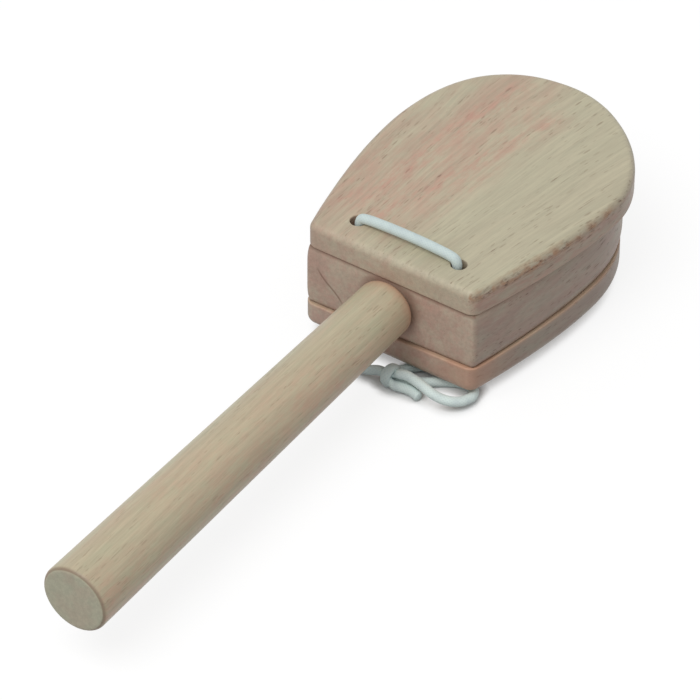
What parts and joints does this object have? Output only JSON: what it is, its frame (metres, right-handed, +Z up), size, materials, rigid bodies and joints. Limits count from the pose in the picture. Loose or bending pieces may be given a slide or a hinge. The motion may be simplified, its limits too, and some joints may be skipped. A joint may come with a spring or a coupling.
{
  "type": "handle castanet",
  "caption": "Wooden clapper instrument: a handle with a thick rounded block, and hinged clappers held against its faces by an elastic cord tied in a bow.",
  "frame": {"origin": "under the middle of the whole length, on the surface that the castanet is laid on, which the knot touches", "axes": "+X along the handle from its free end to the round end of the head, +Y across the head, +Z up through the layers"},
  "size_m": [0.2002, 0.0615, 0.0357],
  "materials": {
    "handle_wood": "turned, satin clear lacquer",
    "head_wood": "sanded, satin clear lacquer",
    "elastic": "knitted cover over a rubber core, matt"
  },
  "bodies": {
    "handle_block": {"handle": "handle_wood", "centre_block": "head_wood", "elastic_leg_left": "elastic", "elastic_leg_right": "elastic"},
    "upper_clapper": {"top_clapper": "head_wood", "elastic_top_stitch": "elastic"},
    "lower_clapper": {"bottom_clapper": "head_wood", "elastic_under_left": "elastic", "elastic_under_right": "elastic", "elastic_knot": "elastic", "elastic_bow_loop": "elastic", "elastic_tail": "elastic"}
  },
  "joints": [
    {"name": "top_clapper_swing", "type": "hinge", "parent": "handle_block", "child": "upper_clapper", "pos_m": [0.0213, 0, 0.026], "axis": [0, -1, 0], "range_deg": [0, 18], "stiffness_Nm_per_rad": 0.08, "springref_deg": -14.32},
    {"name": "bottom_clapper_swing", "type": "hinge", "parent": "handle_block", "child": "lower_clapper", "pos_m": [0.0213, 0, 0.0102], "axis": [0, 1, 0], "range_deg": [0, 18], "stiffness_Nm_per_rad": 0.08, "springref_deg": -14.32}
  ]
}
